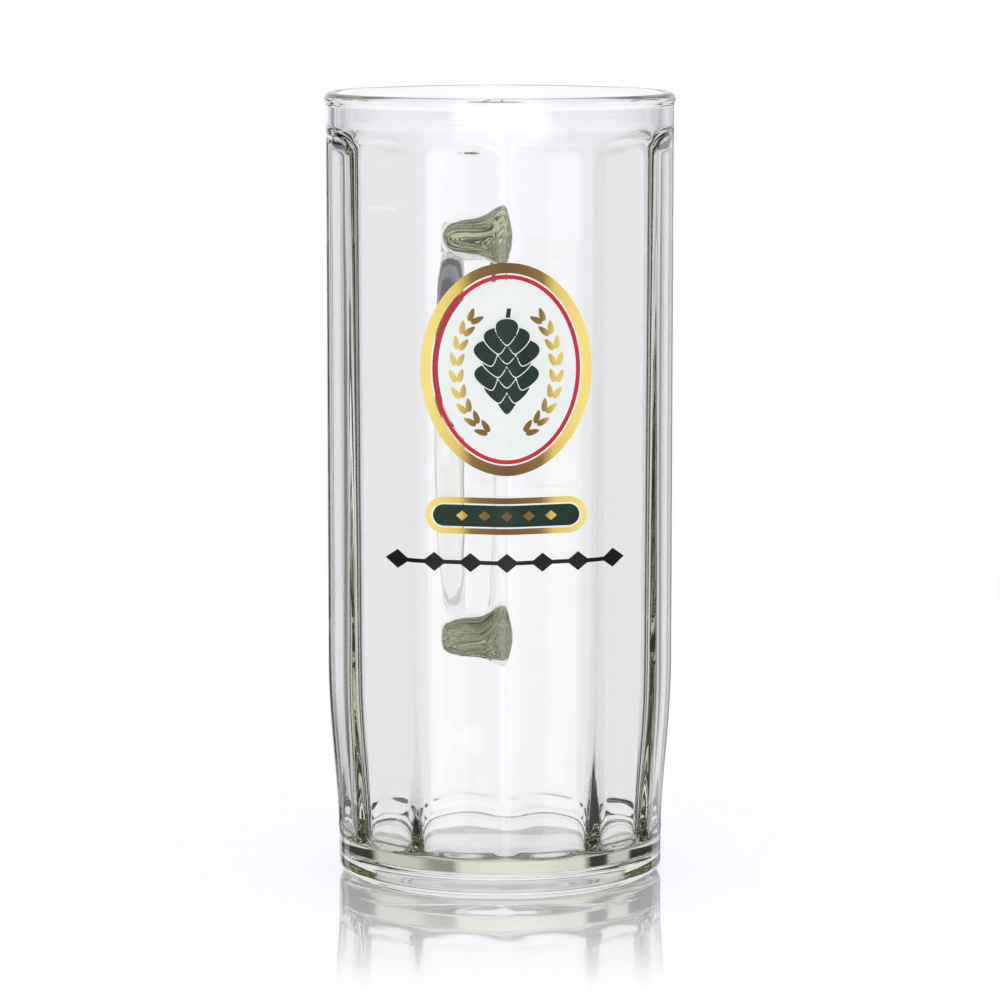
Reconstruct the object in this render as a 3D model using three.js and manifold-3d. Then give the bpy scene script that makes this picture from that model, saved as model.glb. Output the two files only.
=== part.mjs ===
// Panelled glass beer mug with an applied ear handle and a fired enamel print.
// Millimetres, +Z up, base on Z = 0, handle towards +Y, print towards -Y.
// The pieces are drawn about the mug's own axis; the group then shifts so that X = Y = 0 is mid-box.
import * as THREE from "three";
import { mergeVertices } from "three/addons/utils/BufferGeometryUtils.js";
import Module from "manifold-3d";

// Glass body
const MUG_HEIGHT = 175;
const BODY_RADIUS = 38.6;
const RIM_PROUD = 0.3;
const RIM_HEIGHT = 2.2;
const RIM_WALL = 3;
const BAND_HEIGHT = 9;
const PANEL_COUNT = 12;
const PANEL_DEPTH = 1.25;
const ARCH_RISE = 2.6;
const WALL = 4.2;
const TAPER_TOP = 48;
const FOOT_RADIUS = 36.3;
const FOOT_HEIGHT = 9.5;
const FOOT_EDGE = 2.8;
const FOOT_WALL = 5.2;
const FLOOR_THICKNESS = 7.4;
const FLOOR_CORNER = 3;
const BEARING_RING = 5.2;
const UNDERSIDE_RECESS = 5;
const RECESS_CORNER = 2;

// Handle
const HANDLE_DROP = 35;
const HANDLE_FOOT = 47;
const HANDLE_REACH = 37;
const HANDLE_WIDTH = 14;
const HANDLE_THICK = 9.6;
const ROOT_FLARE = 3.4;
const ROOT_LENGTH = 11;
const ROOT_GAP = 0.3;

// Enamel print
const PRINT_GAP = 0.3;
const PRINT_THICK = 0.25;
const MEDAL_DROP = 58;
const MEDAL_WIDTH = 37;
const MEDAL_TALL = 46;
const GOLD_RING = 2.2;
const RED_RING = 0.9;
const RING_GAP = 0.35;
const HOP_WIDTH = 13;
const HOP_TALL = 20;
const BAND_BELOW = 4.8;
const BAND_WIDTH = 35;
const BAND_TALL = 8;
const BAND_FRAME = 1.3;
const RULE_BELOW = 4.1;
const RULE_WIDTH = 52;
const RULE_THICK = 0.9;
const LOZENGE_TALL = 4.2;
const LOZENGE_WIDTH = 5.2;
const LOZENGE_COUNT = 7;
const FILL_LINE_DROP = 24;
const FILL_LINE_WIDTH = 9;
const FILL_LINE_TALL = 0.6;

// Fineness of the facets
const TURN_STEPS = 72;
const ARC_STEPS = 5;
const TAPER_STEPS = 9;
const SWEEP_STEPS = 44;

const PITCH = (2 * Math.PI) / PANEL_COUNT;
const PANEL_TOP = MUG_HEIGHT - BAND_HEIGHT;
const LIP_RADIUS = BODY_RADIUS + RIM_PROUD - RIM_WALL;
const HANDLE_TOP = MUG_HEIGHT - HANDLE_DROP;
const MEDAL_Z = MUG_HEIGHT - MEDAL_DROP;
const BAND_Z = MEDAL_Z - MEDAL_TALL / 2 - BAND_BELOW - BAND_TALL / 2;
const RULE_Z = BAND_Z - BAND_TALL / 2 - RULE_BELOW - LOZENGE_TALL / 2;
const FILL_LINE_Z = MUG_HEIGHT - FILL_LINE_DROP;
const FAR = 60;

const wasm = await Module();
wasm.setup();

// A three.js geometry as a manifold solid, its seams welded and its collapsed faces dropped.
function toSolid(geometry) {
  const bare = geometry.clone();
  bare.deleteAttribute("normal");
  bare.deleteAttribute("uv");
  const welded = mergeVertices(bare, 1e-4);
  const corners = welded.index.array;
  const kept = [];
  for (let i = 0; i < corners.length; i += 3) {
    const [a, b, c] = corners.slice(i, i + 3);
    if (a !== b && b !== c && a !== c) kept.push(a, b, c);
  }
  return new wasm.Manifold(
    new wasm.Mesh({
      numProp: 3,
      vertProperties: new Float32Array(welded.attributes.position.array),
      triVerts: new Uint32Array(kept),
    }),
  );
}

function toMesh(name, solid, material) {
  const data = solid.getMesh();
  const geometry = new THREE.BufferGeometry();
  geometry.setAttribute("position", new THREE.BufferAttribute(new Float32Array(data.vertProperties), 3));
  geometry.setIndex(new THREE.BufferAttribute(new Uint32Array(data.triVerts), 1));
  geometry.computeVertexNormals();
  const mesh = new THREE.Mesh(geometry, material);
  mesh.name = name;
  return mesh;
}

// A profile of [radius, height] pairs, written up the outside, turned about Z.
function revolve(profile) {
  const points = profile.map(([r, z]) => new THREE.Vector2(r, z));
  return toSolid(new THREE.LatheGeometry(points, TURN_STEPS).rotateX(Math.PI / 2));
}

// Points of a quarter arc from one angle to another, in degrees.
function arc(r, z, radius, from, to) {
  return Array.from({ length: ARC_STEPS + 1 }, (_, i) => {
    const a = THREE.MathUtils.degToRad(from + ((to - from) * i) / ARC_STEPS);
    return [r + radius * Math.cos(a), z + radius * Math.sin(a)];
  });
}

// Outer radius of the round body: a straight wall that eases in to the foot.
function roundRadius(z) {
  const t = THREE.MathUtils.clamp((z - FOOT_HEIGHT / 2) / (TAPER_TOP - FOOT_HEIGHT / 2), 0, 1);
  return FOOT_RADIUS + ((BODY_RADIUS - FOOT_RADIUS) * (1 - Math.cos(Math.PI * t))) / 2;
}

// Heights between the foot and the shoulder at which the curved outline is sampled.
const outlineHeights = Array.from({ length: TAPER_STEPS + 1 }, (_, i) =>
  THREE.MathUtils.lerp(FOOT_HEIGHT / 2, TAPER_TOP, i / TAPER_STEPS),
);

// One panel cutter: its face follows the body and curves out through it at each end, as an arch.
function panelCutter(grow) {
  const low = FOOT_HEIGHT + ARCH_RISE;
  const high = PANEL_TOP - ARCH_RISE;
  const sweep = (ARCH_RISE * ARCH_RISE + PANEL_DEPTH * PANEL_DEPTH) / (2 * PANEL_DEPTH);
  const turn = Math.acos(1 - (1.2 * PANEL_DEPTH) / sweep);
  const angles = Array.from({ length: ARC_STEPS + 1 }, (_, i) => (turn * i) / ARC_STEPS);
  const faceAt = (z) => roundRadius(z) + grow - PANEL_DEPTH;
  const runOut = (z, way) =>
    angles.map((a) => [faceAt(z) + sweep * (1 - Math.cos(a)), z + way * sweep * Math.sin(a)]);
  const between = outlineHeights.filter((z) => z > low && z < high).map((z) => [faceAt(z), z]);
  const face = [...runOut(high, 1).reverse(), ...between.reverse(), ...runOut(low, -1)];
  const shape = new THREE.Shape();
  shape.moveTo(FAR, face[face.length - 1][1]);
  shape.lineTo(FAR, face[0][1]);
  face.forEach(([r, z]) => shape.lineTo(r, z));
  shape.closePath();
  const wide = 2 * FAR * Math.tan(PITCH / 2);
  const geometry = new THREE.ExtrudeGeometry(shape, { depth: wide, bevelEnabled: false });
  return geometry.translate(0, 0, -wide / 2).rotateX(Math.PI / 2);
}

// The filled outside of the mug, grown outwards by a clearance.
function outside(grow) {
  const beadFoot = MUG_HEIGHT - RIM_HEIGHT;
  const bead = RIM_WALL / 2;
  const beadAxis = BODY_RADIUS + RIM_PROUD - bead;
  let solid = revolve([
    [0, 0],
    [FOOT_RADIUS - FOOT_EDGE + grow, 0],
    ...arc(FOOT_RADIUS - FOOT_EDGE + grow, FOOT_EDGE, FOOT_EDGE, -90, 0).slice(1),
    ...outlineHeights.map((z) => [roundRadius(z) + grow, z]),
    [BODY_RADIUS + grow, beadFoot - RIM_PROUD],
    [BODY_RADIUS + RIM_PROUD + grow, beadFoot + RIM_PROUD],
    ...arc(beadAxis + grow, MUG_HEIGHT - bead, bead, 0, 90),
    [0, MUG_HEIGHT],
  ]);
  const cutter = panelCutter(grow);
  for (let i = 0; i < PANEL_COUNT; i += 1) {
    const turned = cutter.clone().rotateZ(-Math.PI / 2 + PITCH * (i + 0.5));
    solid = solid.subtract(toSolid(turned));
  }
  return solid;
}

// The hollow: a thin lip, a quick thickening at the shoulder, a drafted wall and a rounded floor corner.
function hollow() {
  const bead = RIM_WALL / 2;
  const wallRadius = BODY_RADIUS - WALL;
  const floorRadius = FOOT_RADIUS - FOOT_WALL;
  const shoulder = Array.from({ length: ARC_STEPS + 1 }, (_, i) => {
    const t = i / ARC_STEPS;
    const ease = t * t * (3 - 2 * t);
    const r = THREE.MathUtils.lerp(wallRadius, LIP_RADIUS, ease);
    return [r, PANEL_TOP + ARCH_RISE * (2 * t - 1)];
  });
  return revolve([
    [0, FLOOR_THICKNESS],
    ...arc(floorRadius - FLOOR_CORNER, FLOOR_THICKNESS + FLOOR_CORNER, FLOOR_CORNER, -90, 0),
    ...shoulder,
    ...arc(LIP_RADIUS + bead, MUG_HEIGHT - bead, bead, 180, 90),
    [LIP_RADIUS + bead, MUG_HEIGHT + 1],
    [0, MUG_HEIGHT + 1],
  ]);
}

// The hollow of the underside that leaves a bearing ring to stand on.
function underside() {
  const ring = FOOT_RADIUS - FOOT_EDGE - BEARING_RING;
  return revolve([
    [0, -1],
    [ring, -1],
    [ring, UNDERSIDE_RECESS - RECESS_CORNER],
    [ring - RECESS_CORNER, UNDERSIDE_RECESS],
    [0, UNDERSIDE_RECESS],
  ]);
}

// Centre line of the handle: out from the upper root, over, down the grip and back in at the lower root.
function handlePath() {
  const span = HANDLE_TOP - HANDLE_FOOT;
  const at = (out, up) => new THREE.Vector3(0, BODY_RADIUS + HANDLE_REACH * out, HANDLE_FOOT + span * up);
  const points = [
    at(-0.2, 1.01),
    at(0.02, 1),
    at(0.26, 0.985),
    at(0.5, 0.945),
    at(0.74, 0.86),
    at(0.93, 0.715),
    at(1, 0.54),
    at(0.95, 0.37),
    at(0.79, 0.215),
    at(0.54, 0.1),
    at(0.27, 0.03),
    at(0.02, 0),
    at(-0.2, -0.01),
  ];
  return new THREE.CatmullRomCurve3(points, false, "centripetal");
}

// A flared glass root: a trumpet set on the wall along the direction in which the handle leaves it.
function root(place, leaving) {
  const half = HANDLE_WIDTH / 2;
  const flare = Array.from({ length: 2 * ARC_STEPS + 1 }, (_, i) => {
    const t = i / (2 * ARC_STEPS);
    return new THREE.Vector2(half * 0.985 + ROOT_FLARE * (1 - t) ** 2.5, ROOT_LENGTH * t);
  });
  const inner = new THREE.Vector2(flare[0].x, -WALL);
  const points = [new THREE.Vector2(0, -WALL), inner, ...flare, new THREE.Vector2(0, ROOT_LENGTH)];
  const trumpet = new THREE.LatheGeometry(points, TURN_STEPS / 2);
  trumpet.scale(1, 1, HANDLE_THICK / HANDLE_WIDTH);
  trumpet.rotateX(Math.atan2(leaving.z, leaving.y));
  return toSolid(trumpet.translate(place.x, place.y, place.z));
}

// The handle: an oval bar swept round the path, with a root at each end, trimmed clear of the body.
function handle(bodyOutside) {
  const path = handlePath();
  const section = new THREE.Shape();
  section.absellipse(0, 0, HANDLE_WIDTH / 2, HANDLE_THICK / 2, 0, 2 * Math.PI);
  const swept = new THREE.ExtrudeGeometry(section, {
    steps: SWEEP_STEPS,
    curveSegments: 9,
    extrudePath: path,
    bevelEnabled: false,
  });
  const last = path.points.length - 1;
  const upper = path.points[1];
  const lower = path.points[last - 1];
  const upperRoot = root(upper, path.points[2].clone().sub(upper));
  const lowerRoot = root(lower, path.points[last - 2].clone().sub(lower));
  return toSolid(swept).add(upperRoot).add(lowerRoot).subtract(bodyOutside);
}

// An upright oval outline centred on the medallion.
function oval(inset) {
  const shape = new THREE.Shape();
  shape.absellipse(0, MEDAL_Z, MEDAL_WIDTH / 2 - inset, MEDAL_TALL / 2 - inset, 0, 2 * Math.PI);
  return shape;
}

function ovalRing(inset, wide) {
  const shape = oval(inset);
  shape.holes.push(oval(inset + wide));
  return shape;
}

// A hop cone: a plump oval drawn to a point below, with a short stalk above.
function hopCone(grow) {
  const half = HOP_WIDTH / 2 + grow;
  const base = MEDAL_Z - HOP_TALL / 2 - 2 * grow;
  const shoulder = MEDAL_Z + HOP_TALL / 5;
  const crown = MEDAL_Z + HOP_TALL / 2 + grow;
  const stalk = HOP_WIDTH / 14 + grow;
  const shape = new THREE.Shape();
  shape.moveTo(0, base);
  shape.quadraticCurveTo(half, base + HOP_TALL * 0.2, half, shoulder);
  shape.quadraticCurveTo(half, crown, stalk, crown);
  shape.lineTo(stalk, crown + HOP_TALL * 0.15);
  shape.lineTo(-stalk, crown + HOP_TALL * 0.15);
  shape.lineTo(-stalk, crown);
  shape.quadraticCurveTo(-half, crown, -half, shoulder);
  shape.quadraticCurveTo(-half, base + HOP_TALL * 0.2, 0, base);
  return shape;
}

// A level bar with half-round ends, centred on the front.
function bar(z, wide, tall) {
  const shape = new THREE.Shape();
  const straight = wide / 2 - tall / 2;
  shape.moveTo(-straight, z - tall / 2);
  shape.lineTo(straight, z - tall / 2);
  shape.absarc(straight, z, tall / 2, -Math.PI / 2, Math.PI / 2);
  shape.lineTo(-straight, z + tall / 2);
  shape.absarc(-straight, z, tall / 2, Math.PI / 2, (3 * Math.PI) / 2);
  return shape;
}

// A thin level rule strung with lozenges.
function lozengeRule() {
  const half = RULE_THICK / 2;
  const step = (RULE_WIDTH - LOZENGE_WIDTH) / (LOZENGE_COUNT - 1);
  const across = (LOZENGE_WIDTH / 2) * (1 - RULE_THICK / LOZENGE_TALL);
  const shape = new THREE.Shape();
  const first = -RULE_WIDTH / 2 + LOZENGE_WIDTH / 2;
  const middles = Array.from({ length: LOZENGE_COUNT }, (_, i) => first + step * i);
  shape.moveTo(-RULE_WIDTH / 2, RULE_Z - half);
  middles.forEach((x) => {
    shape.lineTo(x - across, RULE_Z - half);
    shape.lineTo(x, RULE_Z - LOZENGE_TALL / 2);
    shape.lineTo(x + across, RULE_Z - half);
  });
  shape.lineTo(RULE_WIDTH / 2, RULE_Z - half);
  shape.lineTo(RULE_WIDTH / 2, RULE_Z + half);
  middles.reverse().forEach((x) => {
    shape.lineTo(x + across, RULE_Z + half);
    shape.lineTo(x, RULE_Z + LOZENGE_TALL / 2);
    shape.lineTo(x - across, RULE_Z + half);
  });
  shape.lineTo(-RULE_WIDTH / 2, RULE_Z + half);
  shape.closePath();
  return shape;
}

// A flat outline pressed through the thin skin that hugs the outside of the mug.
function printed(shape, skin, turn) {
  const geometry = new THREE.ExtrudeGeometry(shape, {
    depth: FAR,
    curveSegments: 28,
    bevelEnabled: false,
  });
  return toSolid(geometry.rotateX(Math.PI / 2).rotateZ(turn)).intersect(skin);
}

function levelLine(z, wide, tall) {
  const shape = new THREE.Shape();
  shape.moveTo(-wide / 2, z - tall / 2);
  shape.lineTo(wide / 2, z - tall / 2);
  shape.lineTo(wide / 2, z + tall / 2);
  shape.lineTo(-wide / 2, z + tall / 2);
  shape.closePath();
  return shape;
}

const glass = new THREE.MeshStandardMaterial({
  color: 0xdfe9e6,
  roughness: 0.05,
  transparent: true,
  opacity: 0.45,
});
const gold = new THREE.MeshStandardMaterial({ color: 0xc39a3c, roughness: 0.3, metalness: 0.8 });
const red = new THREE.MeshStandardMaterial({ color: 0xc01f28, roughness: 0.35 });
const white = new THREE.MeshStandardMaterial({ color: 0xeef2f1, roughness: 0.35 });
const green = new THREE.MeshStandardMaterial({ color: 0x0c2a1c, roughness: 0.3 });
const black = new THREE.MeshStandardMaterial({ color: 0x141414, roughness: 0.35 });

const body = outside(0).subtract(hollow()).subtract(underside());
const skin = outside(PRINT_GAP + PRINT_THICK).subtract(outside(PRINT_GAP));
const redInset = GOLD_RING + RING_GAP;
const whiteInset = redInset + RED_RING + RING_GAP;
const field = oval(whiteInset);
field.holes.push(hopCone(RING_GAP));
const bandFrame = bar(BAND_Z, BAND_WIDTH, BAND_TALL);
bandFrame.holes.push(bar(BAND_Z, BAND_WIDTH - 2 * BAND_FRAME, BAND_TALL - 2 * BAND_FRAME));
const bandInset = 2 * (BAND_FRAME + RING_GAP);

const mug = new THREE.Group();
mug.name = "panelled_glass_mug";
mug.add(toMesh("glass_body", body, glass));
mug.add(toMesh("handle", handle(outside(ROOT_GAP)), glass));
mug.add(toMesh("medallion_gold_ring", printed(ovalRing(0, GOLD_RING), skin, 0), gold));
mug.add(toMesh("medallion_red_ring", printed(ovalRing(redInset, RED_RING), skin, 0), red));
mug.add(toMesh("medallion_white_field", printed(field, skin, 0), white));
mug.add(toMesh("medallion_hop_cone", printed(hopCone(0), skin, 0), green));
mug.add(toMesh("band_gold_frame", printed(bandFrame, skin, 0), gold));
mug.add(
  toMesh(
    "band_green_panel",
    printed(bar(BAND_Z, BAND_WIDTH - bandInset, BAND_TALL - bandInset), skin, 0),
    green,
  ),
);
mug.add(toMesh("lozenge_rule", printed(lozengeRule(), skin, 0), black));
mug.add(
  toMesh(
    "fill_line",
    printed(levelLine(FILL_LINE_Z, FILL_LINE_WIDTH, FILL_LINE_TALL), skin, -1.5 * PITCH),
    white,
  ),
);

const box = new THREE.Box3().setFromObject(mug);
mug.position.y = -(box.min.y + box.max.y) / 2;

export default mug;
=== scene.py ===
"""Looks of the panelled glass beer mug: glass body, applied handle, fired enamel print, floor and light."""
import math

import bmesh
import bpy
import numpy as np
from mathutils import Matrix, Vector


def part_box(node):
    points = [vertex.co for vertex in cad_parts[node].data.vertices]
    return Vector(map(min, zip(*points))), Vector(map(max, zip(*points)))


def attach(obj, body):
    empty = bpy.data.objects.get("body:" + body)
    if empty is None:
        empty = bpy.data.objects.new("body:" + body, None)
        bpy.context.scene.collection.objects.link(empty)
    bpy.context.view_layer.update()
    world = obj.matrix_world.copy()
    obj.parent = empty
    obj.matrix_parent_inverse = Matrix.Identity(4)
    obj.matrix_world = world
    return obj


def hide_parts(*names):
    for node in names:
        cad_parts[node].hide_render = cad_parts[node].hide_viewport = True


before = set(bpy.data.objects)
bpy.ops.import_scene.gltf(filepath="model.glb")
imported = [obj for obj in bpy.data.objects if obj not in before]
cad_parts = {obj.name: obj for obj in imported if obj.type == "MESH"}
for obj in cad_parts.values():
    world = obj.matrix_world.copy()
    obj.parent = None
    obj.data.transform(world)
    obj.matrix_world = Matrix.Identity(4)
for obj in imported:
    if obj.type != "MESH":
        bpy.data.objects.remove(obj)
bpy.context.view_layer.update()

# Sizes in millimetres about the mug's own axis, as in the CAD source.
MUG_HEIGHT = 175.0
BODY_RADIUS = 38.6
RIM_PROUD = 0.3
RIM_HEIGHT = 2.2
RIM_WALL = 3.0
PANEL_TOP = 166.0
PANEL_COUNT = 12
PANEL_DEPTH = 1.25
ARCH_RISE = 2.6
WALL = 4.2
TAPER_TOP = 48.0
FOOT_RADIUS = 36.3
FOOT_HEIGHT = 9.5
FOOT_EDGE = 2.8
FOOT_WALL = 5.2
FLOOR_THICKNESS = 7.4
BEARING_RING = 5.2
UNDERSIDE_RECESS = 5.0
RECESS_CORNER = 2.0
PITCH = 2 * math.pi / PANEL_COUNT
LIP_RADIUS = BODY_RADIUS + RIM_PROUD - RIM_WALL

# Fire-polished softness of the glass, and the lobed inside with its bends at the floor and the shoulder.
EDGE_SOFT = 0.1
RIDGE_SOFT = 0.42
RIDGE_GIVEN_BACK = 0.65
RUN_OUT_SLOPE = 9
RING_EDGE = 0.3
BEAD_RUN = 1.0
FLOOR_CORNER = 5.0
FLOOR_BEND = 2.6
SHOULDER_RISE = 1.8
SHOULDER = 6.5
INSIDE_SOFT = 0.6
LOBES = 1.6
LOBE_MIDDLE = 0.45
FOOT_LOBES = 0.8
FOOT_LOBES_TOP = 30
FOOT_LOBES_RUN = 20

# Rows and columns of the body's grid: start, stop and count of heights up the outside, closest where it bends.
FIRST_ROWS_TOP = 7.5
OUTSIDE_ROWS = (
    (7.8, 16, 30),
    (17.2, 34, 15),
    (35, 60, 40),
    (63, 125, 16),
    (127, 152, 40),
    (153.5, 156, 3),
    (157.5, 168.5, 40),
    (169, 172.2, 6),
)
POLE_RING = 3
COLUMNS_PER_PANEL = 21
COLUMN_CROWDING = 0.7

# Handle: its line as shares of the reach and of the rise, and the half width and half height of each root.
HANDLE_TOP = 140.0
HANDLE_FOOT = 47.0
HANDLE_REACH = 37.0
HANDLE_WIDTH = 14.0
HANDLE_THICK = 9.6
HANDLE_LINE = (
    (0.02, 1), (0.26, 0.985), (0.5, 0.945), (0.74, 0.86), (0.93, 0.715), (1, 0.54),
    (0.95, 0.37), (0.79, 0.215), (0.54, 0.1), (0.27, 0.03), (0.02, 0),
)
HANDLE_ROWS = 120
HANDLE_COLUMNS = 56
ROOTS = ((HANDLE_TOP, 8.6, 7.6), (HANDLE_FOOT, 9.0, 8.0))
ROOT_SINK = 0.6
ROOT_RUN = 13.0
ROOT_FLARE = 0.7

# Print: each colour is a skin that stands a little off the glass.
SKIN = 0.03
LIFT = 0.03
FILLED_ROWS = 16
MEDAL_Z = 117.0
MEDAL_WIDTH = 37.0
MEDAL_TALL = 46.0
GOLD_RING = 2.2
RED_RING = 0.9
RING_GAP = 0.35
GROUND_SINK = 0.025
HOP_ROWS = (
    (-7.4, 4.4, 1), (-4.6, 4.8, 2), (-1.6, 4.6, 3), (1.0, 5.2, 2), (3.6, 4.7, 3), (6.0, 4.8, 2), (7.6, 4.4, 1),
)
BRACT_TALL = 5.6
BRACT_OVERLAP = 0.9
BRACT_UP = 0.6
BRACT_DROOP = 0.16
BRACT_LEAN = -0.08
BRACT_TIP = 0.5
KEYLINE = 0.5
KEYLINE_LIFT = 0.032
TILE_LIFT = 0.033
STALK = ((-0.5, 9.6), (0.5, 9.6), (0.9, 13.2), (0.0, 13.2))
EAR_WIDE = 10.6
EAR_TALL = 14.6
EAR_SPREAD = 1.02
EAR_START = -62
EAR_TURN = 112
EAR_PAIRS = 9
GRAIN_OFF = 0.85
GRAIN_WIDE = 1.25
GRAIN_TALL = 3.0
GRAIN_LEAN = 0.38
GRAIN_TIP = -0.3
BAND_Z = 85.2
BAND_WIDTH = 35.0
BAND_TALL = 8.0
BAND_FRAME = 1.3
BAR_STRETCH = 1.35
BAR_END_TURN = 3.2
GEM_WIDE = 2.6
GEM_TALL = 2.2
GEM_LIFT = 0.035
GEM_STEP = 4.8
GEMS_A_SIDE = 2
RULE_Z = 75.0
RULE_WIDTH = 52.0
RULE_THICK = 0.9
RULE_TIP = 0.02
LOZENGE_TALL = 4.2
LOZENGE_WIDTH = 5.2
LOZENGE_COUNT = 7
FILL_LINE_Z = 151.0
FILL_LINE_WIDTH = 9.0
FILL_LINE_TALL = 0.6
FILL_LINE_TURN = -45

# Patterns of the materials, and the width of the gold's painted sheen, in millimetres.
RIPPLE = 9
RIPPLE_DEEP = 0.02
INK_CLOUD = 3.0
# The gold's painted highlight and shade: brown in the middle of the print, pale out to this width on either
# side.
GOLD_SHEEN_REACH = 50 / 3

# Floor, in millimetres from the mug's axis, and how much it shines and glows.
FLOOR_GAP = 0.05
FLOOR_DEEP = 2
FLOOR_RINGS = np.concatenate([np.linspace(10, 100, 10), np.linspace(120, 700, 30)])
FLOOR_PALE = 0.8
FLOOR_GLOW = 0.23
FLOOR_SHINE = 0.6
SHINE_FADE = (50, 128)
FLOOR_FADE = (200, 550)
# Painted shadow under the foot: the floor's colour and glow drop to this share inside the first radius and
# come back to full at the second.
FOOT_SHADE = 0.75
SHADE_FADE = (30, 36)
CLEAR_BEYOND = 34

# Camera, in metres and degrees.
CAMERA_TURN = -2.2
CAMERA_AWAY = 1.028
CAMERA_HEIGHT = 0.2175
LOOK_HEIGHT = 0.0838
LENS = 166.7
SENSOR = 36

# Studio: how bright the room is at each angle round the mug, 0 being the back, and the cool cast of the light.
ROOM_BANDS = (
    (-180, 0.95), (-150, 0.95), (-144, 0.08), (-118, 0.05), (-95, 0.03), (-41, 0.04), (-39, 0.75), (-30, 0.75),
    (-28, 0.05), (-22, 0.05), (-20, 0.9), (0, 1.0), (12, 0.9), (14, 0.35), (20, 0.4), (24, 0.75), (40, 0.75),
    (44, 0.05), (95, 0.06), (118, 0.05), (144, 0.08), (150, 0.95), (180, 0.95),
)
ROOM_CAST = (1, 1.02, 1.08)
THROUGH_CAST = (1.0, 1.01, 1.06, 1)
WHITE = (1, 1, 1, 1)
DEEP_BOUNCES = 40
GLOSSY_BOUNCES = 24

body_low, body_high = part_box("glass_body")
AXIS_Y = (body_low.y + body_high.y) * 500


def linear(code):
    """Linear RGBA of an sRGB hex colour such as #C8232C."""
    part = np.array([int(code[i : i + 2], 16) for i in (1, 3, 5)]) / 255
    part = np.where(part <= 0.04045, part / 12.92, ((part + 0.055) / 1.055) ** 2.4)
    return (*part.tolist(), 1.0)


def add(tree, kind, sockets=None, **settings):
    """One shader node with its settings; each socket takes a value or a link from another node's output."""
    made = tree.nodes.new(kind)
    for name, value in settings.items():
        setattr(made, name, value)
    for name, value in (sockets or {}).items():
        if isinstance(value, bpy.types.NodeSocket):
            tree.links.new(value, made.inputs[name])
        else:
            made.inputs[name].default_value = value
    return made


def shell(name, grid, first=None, last=None):
    """A closed mesh from a grid of points in millimetres. Columns wrap round. Rows close on the two pole
    points if they are given and wrap round too if not. Faces turn outwards by the sign of the volume."""
    rows, cols = grid.shape[:2]
    index = np.arange(rows * cols).reshape(rows, cols)
    ring = first is None
    low, high = (index, np.roll(index, -1, 0)) if ring else (index[:-1], index[1:])
    quads = np.stack([low, np.roll(low, -1, 1), np.roll(high, -1, 1), high], -1).reshape(-1, 4)
    points = grid.reshape(-1, 3)
    fans = np.zeros((0, 3), int)
    if not ring:
        points = np.vstack([points, first, last])
        top, end = np.full(cols, rows * cols), np.full(cols, rows * cols + 1)
        fans = np.vstack([
            np.stack([top, np.roll(index[0], -1), index[0]], -1),
            np.stack([end, index[-1], np.roll(index[-1], -1)], -1),
        ])
    halves = np.vstack([quads[:, :3], quads[:, [0, 2, 3]], fans])
    a, b, c = (points[halves[:, i]] for i in range(3))
    if np.einsum("ij,ij->i", a, np.cross(b, c)).sum() < 0:
        quads, fans = quads[:, ::-1], fans[:, ::-1]
    mesh = bpy.data.meshes.new(name)
    placed = (points + (0, AXIS_Y, 0)) / 1000
    mesh.from_pydata(placed.tolist(), [], quads.tolist() + fans.tolist())
    mesh.shade_smooth()
    made = bpy.data.objects.new(name, mesh)
    bpy.context.scene.collection.objects.link(made)
    return made


def wear(piece, nodes, material):
    """Puts a piece in the frame: it rides on the one body, stands for its CAD nodes and wears its material."""
    piece.data.materials.append(material)
    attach(piece, "root")
    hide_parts(*nodes)


def ease(t):
    """Smooth step from 0 to 1: three times the square less twice the cube."""
    t = np.clip(t, 0, 1)
    return t * t * (3 - 2 * t)


def round_radius(z):
    """Outer radius of the round body: straight above, a cosine ease in to the foot below."""
    t = np.clip((z - FOOT_HEIGHT / 2) / (TAPER_TOP - FOOT_HEIGHT / 2), 0, 1)
    return FOOT_RADIUS + (BODY_RADIUS - FOOT_RADIUS) * (1 - np.cos(np.pi * t)) / 2


def ridged(theta, face, soft):
    """Radius of a twelve-sided body at an angle: the soft lesser of the two nearest flat faces."""
    phi = np.abs(np.mod(theta, PITCH) - PITCH / 2)
    near, far = face / np.cos(phi), face / np.cos(PITCH - phi)
    return near - soft * np.log1p(np.exp((near - far) / soft))


def outer_radius(theta, z):
    """Radius of the outside at an angle from the front: the soft lesser of the round body and the panels,
    each of which curves out through the round body on an arc at both its ends."""
    sweep = (ARCH_RISE**2 + PANEL_DEPTH**2) / (2 * PANEL_DEPTH)
    past = np.maximum(z - (PANEL_TOP - ARCH_RISE), FOOT_HEIGHT + ARCH_RISE - z).clip(0)
    out = sweep - np.sqrt((sweep**2 - past**2).clip(0)) + RUN_OUT_SLOPE * (past - sweep).clip(0)
    whole = round_radius(z)
    panel = ridged(theta, whole - PANEL_DEPTH + RIDGE_SOFT * RIDGE_GIVEN_BACK + out, RIDGE_SOFT)
    return whole - EDGE_SOFT * np.log1p(np.exp(((whole - panel) / EDGE_SOFT).clip(-40, 40)))


def inner_shift(theta, z):
    """How far the inside leaves a plain round: a soft twelve-sided form less its middle radius, so that it
    bows in behind the panels and out behind the ridges. It grows towards the foot and ends at the floor and
    at the shoulder."""
    fade = ease((z - FLOOR_THICKNESS) / FLOOR_BEND) * ease((PANEL_TOP + SHOULDER_RISE - z) / SHOULDER)
    grown = LOBES + FOOT_LOBES * ease((FOOT_LOBES_TOP - z) / FOOT_LOBES_RUN)
    return fade * grown * (ridged(theta, BODY_RADIUS, INSIDE_SOFT) - BODY_RADIUS - LOBE_MIDDLE)


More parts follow.
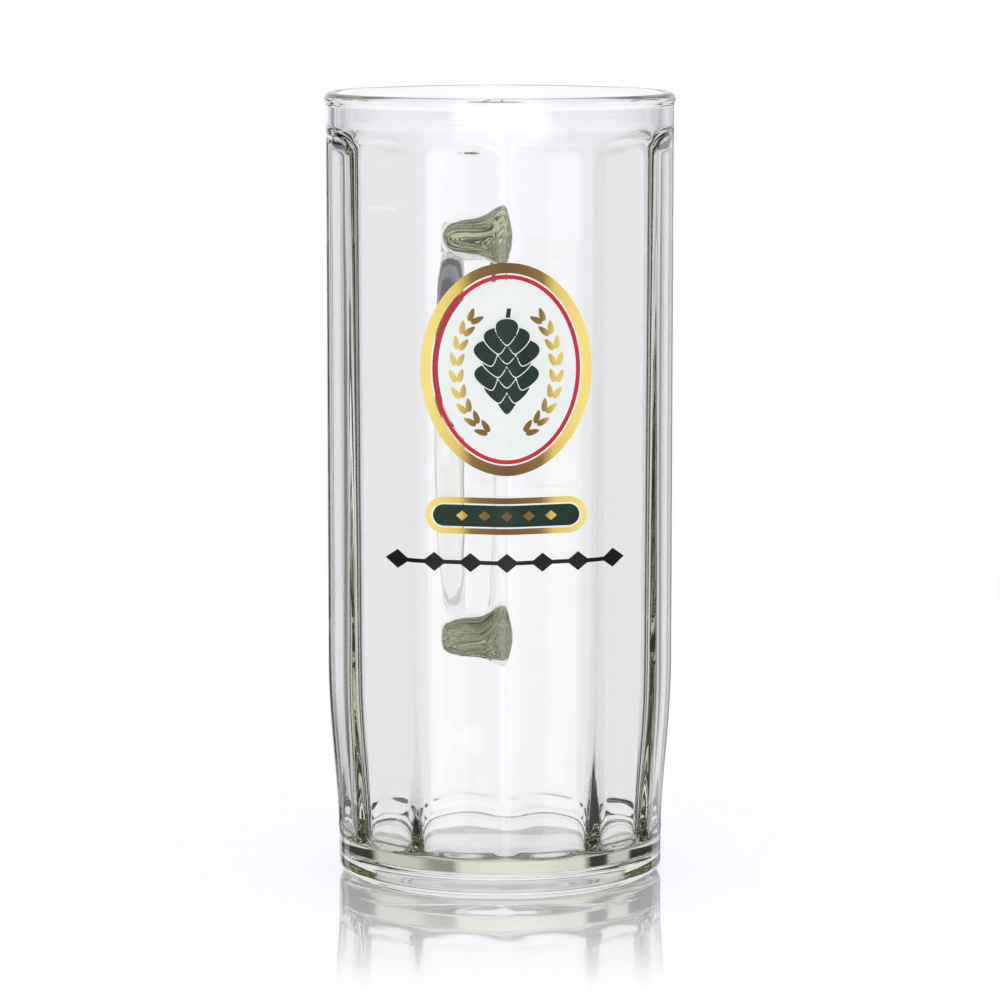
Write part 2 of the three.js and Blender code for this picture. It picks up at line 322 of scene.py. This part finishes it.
def on_wall(x, z, lift, back=False):
    """Points on the outside at sideways place x and height z, lifted off it. The angle is the one whose sine
    is x over the radius there, found by repeating."""
    theta = np.arcsin(x / BODY_RADIUS)
    for _ in range(6):
        theta = np.arcsin(x / (outer_radius(theta, z) + lift))
    y = (outer_radius(theta, z) + lift) * np.cos(theta)
    return np.stack([x + 0 * z, y if back else -y, z + 0 * x], -1)


def arc(r, z, radius, start, stop, count):
    """Points [radius, height] on a circle about (r, z), between two angles in degrees."""
    a = np.radians(np.linspace(start, stop, count))
    return np.stack([r + radius * np.cos(a), z + radius * np.sin(a)], -1)


def profile():
    """Half section of the body as [radius, height] from under the middle, up the outside, over the rim bead,
    down the drafted inside to the middle of the floor. With it comes the side of each point: 1 on the
    panelled outside, -1 on the inside."""
    ring = FOOT_RADIUS - FOOT_EDGE
    inner = ring - BEARING_RING
    bead = RIM_WALL / 2
    under = np.linspace(POLE_RING, inner - RECESS_CORNER - 1, 8)
    recess_wall = np.linspace(UNDERSIDE_RECESS - RECESS_CORNER - 0.4, RING_EDGE, 6)
    recess = np.vstack([
        arc(inner - RECESS_CORNER, UNDERSIDE_RECESS - RECESS_CORNER, RECESS_CORNER, 90, 0, 9),
        np.stack([np.full(6, inner), recess_wall], -1),
        arc(inner + RING_EDGE, RING_EDGE, RING_EDGE, 180, 270, 5),
    ])
    stand = np.linspace(inner + 0.5, ring - 0.4, 5)
    first_rows = np.linspace(FOOT_EDGE, FIRST_ROWS_TOP, 9)[1:]
    heights = np.concatenate([first_rows, *(np.linspace(*row) for row in OUTSIDE_ROWS)])
    swell = np.linspace(0, 1, 7)[1:]
    bead_foot = MUG_HEIGHT - RIM_HEIGHT
    bulge = np.stack([BODY_RADIUS + RIM_PROUD * ease(swell), bead_foot - BEAD_RUN / 2 + BEAD_RUN * swell], -1)
    over = arc(LIP_RADIUS + bead, MUG_HEIGHT - bead, bead, 0, 180, 22)
    t = np.linspace(0, 1, 22)[1:]
    top = PANEL_TOP + SHOULDER_RISE
    wall = BODY_RADIUS - WALL
    lip_drop = (MUG_HEIGHT - bead - top) * t[:6] / t[5]
    lip = np.stack([LIP_RADIUS + 0 * t[:6], MUG_HEIGHT - bead - lip_drop], -1)
    shoulder = np.stack([LIP_RADIUS + (wall - LIP_RADIUS) * ease(t), top - SHOULDER * t], -1)
    floor_radius = FOOT_RADIUS - FOOT_WALL
    corner = FLOOR_THICKNESS + FLOOR_BEND
    d = np.linspace(0, 1, 28)[1:-1]
    down = (top - SHOULDER) * (1 - d) + corner * d
    draft = np.stack([round_radius(down) - WALL - (FOOT_WALL - WALL) * d, down], -1)
    bend = arc(floor_radius - FLOOR_CORNER, 0, FLOOR_CORNER, 0, -90, 16)
    bend[:, 1] = corner + bend[:, 1] * FLOOR_BEND / FLOOR_CORNER
    floor = np.linspace(floor_radius - FLOOR_CORNER - 2, POLE_RING, 8)
    parts = [
        np.stack([under, UNDERSIDE_RECESS + 0 * under], -1),
        recess,
        np.stack([stand, 0 * stand], -1),
        arc(ring, FOOT_EDGE, FOOT_EDGE, -90, 0, 12),
        np.stack([round_radius(heights), heights], -1),
        bulge,
        over,
        lip,
        shoulder,
        draft,
        bend,
        np.stack([floor, FLOOR_THICKNESS + 0 * floor], -1),
    ]
    side = np.concatenate([np.full(len(p), (i == 4) - (i > 6)) for i, p in enumerate(parts)])
    return np.vstack(parts), side


def glass_body():
    """The body: the half section turned about the axis, its outside pressed into panels and its inside lobed.
    The columns crowd together at the ridges."""
    t = np.arange(COLUMNS_PER_PANEL) / COLUMNS_PER_PANEL
    phi = PITCH * (t - COLUMN_CROWDING * np.sin(2 * np.pi * t) / (2 * np.pi))
    theta = (np.arange(PANEL_COUNT)[:, None] * PITCH + phi).ravel()
    half, side = profile()
    r = half[:, :1] + 0 * theta
    r[side > 0] = outer_radius(theta, half[side > 0, 1:])
    r[side < 0] += inner_shift(theta, half[side < 0, 1:])
    grid = np.stack([r * np.sin(theta), -r * np.cos(theta), half[:, 1:] + 0 * theta], -1)
    return shell("mug_glass_body", grid, (0, 0, UNDERSIDE_RECESS), (0, 0, FLOOR_THICKNESS))


def spline(points, count):
    """A natural cubic spline through points, spaced by the square root of their chords."""
    p = np.array(points, float)
    t = np.concatenate([[0], np.cumsum(np.linalg.norm(np.diff(p, axis=0), axis=1) ** 0.5)])
    h = np.diff(t)
    n = len(p)
    m = np.eye(n)
    rhs = np.zeros_like(p)
    i = np.arange(1, n - 1)
    m[i, i - 1], m[i, i], m[i, i + 1] = h[:-1], 2 * (h[:-1] + h[1:]), h[1:]
    slope = np.diff(p, axis=0) / h[:, None]
    rhs[1:-1] = 6 * np.diff(slope, axis=0)
    bend = np.linalg.solve(m, rhs)
    s = np.linspace(0, t[-1], count)
    k = np.clip(np.searchsorted(t, s, side="right") - 1, 0, n - 2)
    a, b = (t[k + 1] - s)[:, None], (s - t[k])[:, None]
    w = h[k][:, None]
    return (
        bend[k] * a**3 / (6 * w)
        + bend[k + 1] * b**3 / (6 * w)
        + (p[k] / w - bend[k] * w / 6) * a
        + (p[k + 1] / w - bend[k + 1] * w / 6) * b
    )


def handle():
    """The handle: an oval carried along a spline. Near each end it eases into an oval patch that lies just
    under the wall."""
    span = HANDLE_TOP - HANDLE_FOOT
    stations = [(BODY_RADIUS + HANDLE_REACH * out, HANDLE_FOOT + span * up) for out, up in HANDLE_LINE]
    path = spline(stations, HANDLE_ROWS)
    along = np.gradient(path, axis=0)
    along /= np.linalg.norm(along, axis=1)[:, None]
    u = np.linspace(0, 2 * np.pi, HANDLE_COLUMNS, endpoint=False)
    side, rise = np.cos(u) * HANDLE_WIDTH / 2, np.sin(u) * HANDLE_THICK / 2
    run = np.concatenate([[0], np.cumsum(np.linalg.norm(np.diff(path, axis=0), axis=1))])
    x = np.broadcast_to(side, (len(path), len(u)))
    y = path[:, :1] - along[:, 1:] * rise
    z = path[:, 1:] + along[:, :1] * rise
    grid = np.stack([x, y, z], -1)
    ends = []
    for (height, wide, tall), away in zip(ROOTS, (run, run[-1] - run)):
        turn = 1 if height == HANDLE_TOP else -1
        patch = on_wall(wide * np.cos(u), height + turn * tall * np.sin(u), -ROOT_SINK, True)
        mix = ease(away / ROOT_RUN)[:, None, None] ** ROOT_FLARE
        grid = patch * (1 - mix) + grid * mix
        ends.append(on_wall(np.zeros(1), np.full(1, height), -2 * ROOT_SINK, True))
    return shell("mug_handle", grid, *ends)


def fused(first, second):
    """One glass out of two: the second is stuck hot to the first, so no face is left between them."""
    join = first.modifiers.new("fused", "BOOLEAN")
    join.operation, join.solver, join.object = "UNION", "MANIFOLD", second
    whole = bpy.data.meshes.new_from_object(first.evaluated_get(bpy.context.evaluated_depsgraph_get()))
    first.modifiers.clear()
    first.data = whole
    bpy.data.objects.remove(second)
    whole.materials.clear()
    whole.shade_smooth()
    return first


def plate(name, outer, inner, lift, rows=7):
    """A thin enamel skin on the front of the wall between two closed outlines of [x, z]: straight steps from
    the outer one to the inner one or to the inner point, with a second layer behind so that it is closed."""
    v = np.linspace(0, 1, rows)[:, None, None]
    inner = np.broadcast_to(inner, outer.shape)
    filled = np.ptp(inner, axis=0).max() < 1e-9
    flat = outer * (1 - v) + inner * v
    if filled:
        flat = flat[:-1]
    front = on_wall(flat[..., 0], flat[..., 1], lift + SKIN)
    back = on_wall(flat[..., 0], flat[..., 1], lift)
    grid = np.concatenate([front[::-1], back])
    poles = ()
    if filled:
        point = inner[0]
        poles = [on_wall(point[:1], point[1:], at) for at in (lift + SKIN, lift)]
    made = shell(name, grid, *poles)
    made.data.shade_flat()
    return made


def oval(wide, tall, z, count=160):
    """Outline of an upright oval: half its width times the cosine, half its height times the sine."""
    u = np.linspace(0, 2 * np.pi, count, endpoint=False)
    return np.stack([wide / 2 * np.cos(u), z + tall / 2 * np.sin(u)], -1)


def bar(wide, tall, z, count=240):
    """Outline of a level bar with half-round ends: a stretched cosine is cut off along the straight sides,
    and where it would go past them the angle turns about the end instead."""
    u = np.linspace(0, 2 * np.pi, count, endpoint=False)
    reach = (wide - tall) / 2
    x = np.clip(BAR_STRETCH * np.cos(u), -1, 1)
    end = np.abs(BAR_STRETCH * np.cos(u)) > 1
    a = np.arctan2(np.sin(u), np.sign(np.cos(u)) * (np.abs(np.cos(u)) - 1 / BAR_STRETCH) * BAR_END_TURN)
    px = np.where(end, np.sign(x) * reach + np.cos(a) * tall / 2, x * reach)
    pz = np.where(end, np.sin(a) * tall / 2, np.sign(np.sin(u)) * tall / 2)
    return np.stack([px, z + pz], -1)


def petal(x, z, wide, tall, lean=0.0, tip=0.0, count=28):
    """Outline of a small oval drawn to a point at its lower end by tip, turned by lean about its middle."""
    u = np.linspace(0, 2 * np.pi, count, endpoint=False)
    px = wide / 2 * np.cos(u) * (1 + tip * np.sin(u)).clip(0)
    pz = tall / 2 * np.sin(u)
    c, d = math.cos(lean), math.sin(lean)
    return np.stack([x + c * px - d * pz, z + d * px + c * pz], -1)


def lozenge(x, z, wide, tall, count=24):
    """Outline of an upright lozenge: a sum of absolute values held to one."""
    u = np.linspace(0, 2 * np.pi, count, endpoint=False)
    size = np.abs(np.cos(u)) + np.abs(np.sin(u))
    return np.stack([x + wide / 2 * np.cos(u) / size, z + tall / 2 * np.sin(u) / size], -1)


def spot(outline, lift=LIFT, rows=5):
    """A filled skin inside an outline, in straight steps to the mean of its points."""
    return plate("spot", outline, outline.mean(axis=0, keepdims=True), lift, rows)


def gathered(name, parts):
    """One piece out of several skins of the same colour."""
    whole = bmesh.new()
    for part in parts:
        whole.from_mesh(part.data)
        bpy.data.objects.remove(part)
    mesh = bpy.data.meshes.new(name)
    whole.to_mesh(mesh)
    whole.free()
    mesh.shade_flat()
    made = bpy.data.objects.new(name, mesh)
    bpy.context.scene.collection.objects.link(made)
    return made


def hop_cone():
    """Bracts of a hop cone in rows of one to three, laid like tiles from the tip up, and the white keylines
    that part them. Each bract is a petal drawn to a point, and its keyline is a larger petal beneath it."""
    leaves, lines = [], []
    lift = LIFT
    for z, wide, count in HOP_ROWS:
        for i in range(count):
            x = (i - (count - 1) / 2) * wide * BRACT_OVERLAP
            here = (x, MEDAL_Z + z + BRACT_UP - BRACT_DROOP * abs(x))
            lean = BRACT_LEAN * x
            lines.append(spot(petal(*here, wide + KEYLINE, BRACT_TALL + KEYLINE, lean, BRACT_TIP), lift))
            leaves.append(spot(petal(*here, wide, BRACT_TALL, lean, BRACT_TIP), lift + KEYLINE_LIFT))
        lift += TILE_LIFT
    leaves.append(spot(np.array(STALK) + (0, MEDAL_Z)))
    return leaves, lines


def barley(side):
    """One ear of barley beside the cone: pairs of grains along an oval bow, leaning out from it."""
    grains = []
    for t in np.linspace(0, 1, EAR_PAIRS):
        a = math.radians(EAR_START + EAR_TURN * t)
        x, z = EAR_WIDE * math.cos(a) * EAR_SPREAD, EAR_TALL * math.sin(a)
        lean = -math.atan2(-EAR_WIDE * math.sin(a), EAR_TALL * math.cos(a))
        for way in (-1, 1):
            off = way * GRAIN_OFF
            gx = x + off * math.cos(lean)
            gz = z + off * math.sin(lean)
            tilt = side * (lean - way * GRAIN_LEAN)
            outline = petal(side * gx, MEDAL_Z + gz, GRAIN_WIDE, GRAIN_TALL, tilt, GRAIN_TIP, count=18)
            grains.append(spot(outline, rows=3))
    return grains


def rule():
    """A black rule with lozenges: a thin bar on the wall whose half height swells at each lozenge."""
    x = np.linspace(-RULE_WIDTH / 2, RULE_WIDTH / 2, 420)
    step = (RULE_WIDTH - LOZENGE_WIDTH) / (LOZENGE_COUNT - 1)
    from_mid = np.abs(np.mod(x + step / 2 + (LOZENGE_COUNT % 2 - 1) * step / 2, step) - step / 2)
    half = np.maximum(RULE_THICK / 2, LOZENGE_TALL / 2 * (1 - from_mid / (LOZENGE_WIDTH / 2)))
    point = (RULE_WIDTH / 2 - np.abs(x)) * LOZENGE_TALL / LOZENGE_WIDTH
    half = np.maximum(np.minimum(half, point), RULE_TIP)
    rows = [(1, SKIN), (0.5, SKIN), (0, SKIN), (-0.5, SKIN), (-1, SKIN), (-1, 0), (0, 0), (1, 0)]
    grid = np.stack([on_wall(x, RULE_Z + side * half, LIFT + lift) for side, lift in rows], 1)
    ends = [on_wall(x[i : i + 1 or None], np.full(1, RULE_Z), LIFT + SKIN / 2)[0] for i in (0, -1)]
    made = shell("print_lozenge_rule", grid, *ends)
    made.data.shade_flat()
    return made


def fill_line():
    """The short white capacity line near the rim, on the second panel to the left of the front ridge: a thin
    bar that follows the wall over an arc of angles."""
    u = np.linspace(-1, 1, 25)
    rows = [(1, SKIN), (-1, SKIN), (-1, 0), (1, 0)]
    theta = math.radians(FILL_LINE_TURN) + u * FILL_LINE_WIDTH / 2 / BODY_RADIUS
    z = np.full_like(u, FILL_LINE_Z)
    grid = []
    for side, lift in rows:
        r = outer_radius(theta, z) + LIFT + lift
        grid.append(np.stack([r * np.sin(theta), -r * np.cos(theta), z + side * FILL_LINE_TALL / 2], -1))
    grid = np.stack(grid, 1)
    made = shell("print_fill_line", grid, grid[0].mean(0), grid[-1].mean(0))
    made.data.shade_flat()
    return made


def floor_disc():
    """The floor: rings of points about the mug's axis, once on the top and once underneath."""
    r = FLOOR_RINGS[:, None]
    a = np.linspace(0, 2 * np.pi, 96, endpoint=False)
    top = np.stack([r * np.cos(a), r * np.sin(a), np.full((len(r), len(a)), -FLOOR_GAP)], -1)
    under = top - (0, 0, FLOOR_DEEP)
    grid = np.concatenate([top, under[::-1]])
    return shell("floor", grid, (0, 0, -FLOOR_GAP), (0, 0, -FLOOR_GAP - FLOOR_DEEP))


# Materials

def material(name):
    """An empty material and its node tree."""
    made = bpy.data.materials.new(name)
    made.use_nodes = True
    made.node_tree.nodes.clear()
    return made, made.node_tree


def glass(name):
    """Pressed soda-lime glass, fire-polished: clear, with an olive cast where the light has far to go and
    faint ripples of the mould skin that make straight lines behind it waver."""
    made, tree = material(name)
    place = add(tree, "ShaderNodeTexCoord").outputs["Object"]
    ripple = add(tree, "ShaderNodeTexNoise", {"Vector": place, "Scale": 1000 / RIPPLE, "Detail": 1.0})
    skin = add(tree, "ShaderNodeBump", {
        "Height": ripple.outputs["Fac"], "Distance": RIPPLE_DEEP / 1000, "Strength": 1.0,
    })
    surface = add(tree, "ShaderNodeBsdfPrincipled", {
        "Base Color": WHITE, "Roughness": 0.0, "IOR": 1.52, "Transmission Weight": 1.0,
        "Normal": skin.outputs[0],
    })
    inside = add(tree, "ShaderNodeVolumeAbsorption", {"Color": linear("#D3D3A4"), "Density": 11.0})
    add(tree, "ShaderNodeOutputMaterial", {"Surface": surface.outputs[0], "Volume": inside.outputs[0]})
    return made


def enamel(name, light, dark):
    """Screen-printed enamel, fired on: an even gloss colour with a faint cloudiness of the ink."""
    made, tree = material(name)
    place = add(tree, "ShaderNodeTexCoord").outputs["Object"]
    cloud = add(tree, "ShaderNodeTexNoise", {"Vector": place, "Scale": 1000 / INK_CLOUD, "Detail": 2.0})
    tone = add(tree, "ShaderNodeValToRGB", {"Fac": cloud.outputs["Fac"]})
    tone.color_ramp.elements[0].color, tone.color_ramp.elements[1].color = linear(dark), linear(light)
    surface = add(tree, "ShaderNodeBsdfPrincipled", {
        "Base Color": tone.outputs[0], "Roughness": 0.3, "IOR": 1.45,
    })
    add(tree, "ShaderNodeOutputMaterial", {"Surface": surface.outputs[0]})
    return made


def gold(name):
    """Gold lustre, fired on, with painted light: a gloss tone that runs from brown, a painted shade in the
    middle of the print, to pale, a painted highlight at its sides."""
    made, tree = material(name)
    place = add(tree, "ShaderNodeSeparateXYZ", {"Vector": add(tree, "ShaderNodeTexCoord").outputs["Object"]})
    # Painted sheen: the colour goes from brown shade to a pale highlight by distance from the middle of the
    # print, not by where the light falls.
    out = add(tree, "ShaderNodeMath", {0: place.outputs["X"]}, operation="ABSOLUTE")
    share = add(tree, "ShaderNodeMath", {0: out.outputs[0], 1: 1000 / GOLD_SHEEN_REACH}, operation="MULTIPLY")
    tone = add(tree, "ShaderNodeValToRGB", {"Fac": share.outputs[0]})
    ramp = tone.color_ramp
    for at, code in ((0.45, "#8A6A2A"), (0.62, "#E3C561")):
        ramp.elements.new(at).color = linear(code)
    ramp.elements[0].color, ramp.elements[-1].color = linear("#6B4A1C"), linear("#F8E27F")
    surface = add(tree, "ShaderNodeBsdfPrincipled", {
        "Base Color": tone.outputs[0], "Roughness": 0.35, "IOR": 1.5,
    })
    add(tree, "ShaderNodeOutputMaterial", {"Surface": surface.outputs[0]})
    return made


def floor_board(name):
    """A pale table: white, with a painted shadow that makes it darker just under the foot, and with a shine
    that mirrors the foot close by. It fades out far away, and light that the glass has bent passes it except
    under the mug."""
    made, tree = material(name)
    path = add(tree, "ShaderNodeLightPath")
    away = add(tree, "ShaderNodeVectorMath", {
        0: add(tree, "ShaderNodeTexCoord").outputs["Object"], 1: (0, AXIS_Y / 1000, 0),
    }, operation="DISTANCE").outputs["Value"]
    shine, edge, shade = (
        add(tree, "ShaderNodeMapRange", {
            "Value": away, "From Min": start / 1000, "From Max": stop / 1000, "To Min": near, "To Max": far,
        }, interpolation_type="SMOOTHSTEP").outputs["Result"]
        for (start, stop), near, far in (
            (SHINE_FADE, FLOOR_SHINE, 0.0), (FLOOR_FADE, 0.0, 1.0), (SHADE_FADE, FOOT_SHADE, 1.0),
        )
    )
    # shade is the painted shadow under the foot: it darkens both the matte colour and the glow there.
    pale = add(tree, "ShaderNodeVectorMath", {0: (FLOOR_PALE,) * 3, "Scale": shade}, operation="SCALE")
    glow = add(tree, "ShaderNodeMath", {0: shade, 1: FLOOR_GLOW}, operation="MULTIPLY")
    matte = add(tree, "ShaderNodeAddShader", {
        0: add(tree, "ShaderNodeBsdfDiffuse", {"Color": pale.outputs[0]}).outputs[0],
        1: add(tree, "ShaderNodeEmission", {"Color": WHITE, "Strength": glow.outputs[0]}).outputs[0],
    })
    mirror = add(tree, "ShaderNodeBsdfGlossy", {"Color": WHITE, "Roughness": 0.03})
    board = add(tree, "ShaderNodeMixShader", {0: shine, 1: matte.outputs[0], 2: mirror.outputs[0]})
    turns = add(tree, "ShaderNodeMath", {
        0: path.outputs["Glossy Depth"], 1: path.outputs["Transmission Depth"],
    })
    bent = add(tree, "ShaderNodeMath", {0: turns.outputs[0], 1: 0.5}, operation="GREATER_THAN")
    clear_of = add(tree, "ShaderNodeMath", {0: away, 1: CLEAR_BEYOND / 1000}, operation="GREATER_THAN")
    past = add(tree, "ShaderNodeMath", {0: bent.outputs[0], 1: clear_of.outputs[0]}, operation="MULTIPLY")
    unseen = add(tree, "ShaderNodeMath", {0: edge, 1: past.outputs[0]}, operation="MAXIMUM")
    over = add(tree, "ShaderNodeMixShader", {
        0: unseen.outputs[0], 1: board.outputs[0], 2: add(tree, "ShaderNodeBsdfTransparent").outputs[0],
    })
    add(tree, "ShaderNodeOutputMaterial", {"Surface": over.outputs[0]})
    return made


clear = glass("pressed_soda_lime_glass")
white = enamel("screen_printed_white_enamel", "#F3F6F5", "#EAEFEE")
green = enamel("screen_printed_green_enamel", "#103524", "#0A2618")
red = enamel("screen_printed_red_enamel", "#D0262F", "#BE1F28")
black = enamel("screen_printed_black_enamel", "#161616", "#0C0C0C")
lustre = gold("fired_gold_lustre")

# Glass
wear(fused(glass_body(), handle()), ["glass_body", "handle"], clear)

# Medallion: a gold ring with two ears of barley, a red ring, and a white field with a hop cone.
gold_in = (MEDAL_WIDTH - 2 * GOLD_RING, MEDAL_TALL - 2 * GOLD_RING)
red_out = [size - 2 * RING_GAP for size in gold_in]
red_in = [size - 2 * RED_RING for size in red_out]
field = [size - 2 * RING_GAP for size in red_in]
ring = plate("ring", oval(MEDAL_WIDTH, MEDAL_TALL, MEDAL_Z), oval(*gold_in, MEDAL_Z), LIFT)
ears = [grain for side in (-1, 1) for grain in barley(side)]
wear(gathered("print_gold_ring_and_ears", [ring, *ears]), ["medallion_gold_ring"], lustre)
red_ring = plate("print_red_ring", oval(*red_out, MEDAL_Z), oval(*red_in, MEDAL_Z), LIFT)
wear(red_ring, ["medallion_red_ring"], red)
leaves, lines = hop_cone()
medal_middle = np.array([[0.0, MEDAL_Z]])
ground = plate("ground", oval(*field, MEDAL_Z), medal_middle, LIFT - GROUND_SINK, FILLED_ROWS)
wear(gathered("print_white_field", [ground, *lines]), ["medallion_white_field"], white)
wear(gathered("print_hop_cone", leaves), ["medallion_hop_cone"], green)

# Band: a green panel in a gold frame, with a row of gold gems.
inset = BAND_FRAME + RING_GAP
band_middle = np.array([[0.0, BAND_Z]])
panel = bar(BAND_WIDTH - 2 * inset, BAND_TALL - 2 * inset, BAND_Z)
green_panel = plate("print_green_panel", panel, band_middle, LIFT, FILLED_ROWS)
wear(green_panel, ["band_green_panel"], green)
frame_in = bar(BAND_WIDTH - 2 * BAND_FRAME, BAND_TALL - 2 * BAND_FRAME, BAND_Z)
frame_ring = plate("frame_ring", bar(BAND_WIDTH, BAND_TALL, BAND_Z), frame_in, LIFT)
gems = [
    spot(lozenge(i * GEM_STEP, BAND_Z, GEM_WIDE, GEM_TALL), LIFT + GEM_LIFT)
    for i in range(-GEMS_A_SIDE, GEMS_A_SIDE + 1)
]
wear(gathered("print_gold_frame", [frame_ring, *gems]), ["band_gold_frame"], lustre)

# Rule and capacity line
wear(rule(), ["lozenge_rule"], black)
wear(fill_line(), ["fill_line"], white)

# Floor
floor = floor_disc()
floor.data.materials.append(floor_board("floor_board"))

# Camera
middle = Vector((0, AXIS_Y / 1000, LOOK_HEIGHT))
turn = math.radians(CAMERA_TURN)
eye = Vector((math.sin(turn) * CAMERA_AWAY, AXIS_Y / 1000 - math.cos(turn) * CAMERA_AWAY, CAMERA_HEIGHT))
lens = bpy.data.cameras.new("camera")
lens.lens = LENS
lens.sensor_width = SENSOR
lens.clip_start, lens.clip_end = 0.05, 50
camera = bpy.data.objects.new("camera", lens)
bpy.context.scene.collection.objects.link(camera)
camera.location = eye
camera.rotation_mode = "QUATERNION"
camera.rotation_quaternion = (middle - eye).to_track_quat("-Z", "Y")
bpy.context.scene.camera = camera

# Light: a white room for what is seen straight and through the glass, a banded one for what is mirrored.
world = bpy.data.worlds.new("studio")
bpy.context.scene.world = world
world.use_nodes = True
tree = world.node_tree
tree.nodes.clear()
path = add(tree, "ShaderNodeLightPath")
way = add(tree, "ShaderNodeSeparateXYZ", {"Vector": add(tree, "ShaderNodeTexCoord").outputs["Generated"]})
angle = add(tree, "ShaderNodeMath", {0: way.outputs["X"], 1: way.outputs["Y"]}, operation="ARCTAN2")
share = add(tree, "ShaderNodeMath", {
    0: angle.outputs[0], 1: 1 / (2 * math.pi), 2: 0.5,
}, operation="MULTIPLY_ADD")
room = add(tree, "ShaderNodeValToRGB", {"Fac": share.outputs[0]})
bands = room.color_ramp.elements
for at, _ in ROOM_BANDS[1:-1]:
    bands.new(at / 360 + 0.5)
for element, (at, value) in zip(bands, ROOM_BANDS):
    element.position = at / 360 + 0.5
    element.color = (*(value * cast for cast in ROOM_CAST), 1)
up = add(tree, "ShaderNodeMath", {0: way.outputs["Z"], 1: 0.0}, operation="GREATER_THAN")
least = add(tree, "ShaderNodeMath", {0: up.outputs[0], 1: 0.5}, operation="ADD")
mirrored = add(tree, "ShaderNodeMath", {
    0: path.outputs["Glossy Depth"], 1: least.outputs[0],
}, operation="GREATER_THAN")
scattered = add(tree, "ShaderNodeMath", {0: path.outputs["Diffuse Depth"], 1: 0.5}, operation="GREATER_THAN")
seen = add(tree, "ShaderNodeMix", {
    0: path.outputs["Is Camera Ray"], 6: THROUGH_CAST, 7: WHITE,
}, data_type="RGBA")
shown = add(tree, "ShaderNodeMix", {
    0: mirrored.outputs[0], 6: seen.outputs[2], 7: room.outputs[0],
}, data_type="RGBA")
light = add(tree, "ShaderNodeMix", {
    0: scattered.outputs[0], 6: shown.outputs[2], 7: WHITE,
}, data_type="RGBA")
back = add(tree, "ShaderNodeBackground", {"Color": light.outputs[2], "Strength": 1.0})
add(tree, "ShaderNodeOutputWorld", {"Surface": back.outputs[0]})

scene = bpy.context.scene
scene.view_settings.view_transform = "Standard"
scene.cycles.max_bounces = DEEP_BOUNCES
scene.cycles.transmission_bounces = DEEP_BOUNCES
scene.cycles.glossy_bounces = GLOSSY_BOUNCES
scene.cycles.transparent_max_bounces = DEEP_BOUNCES
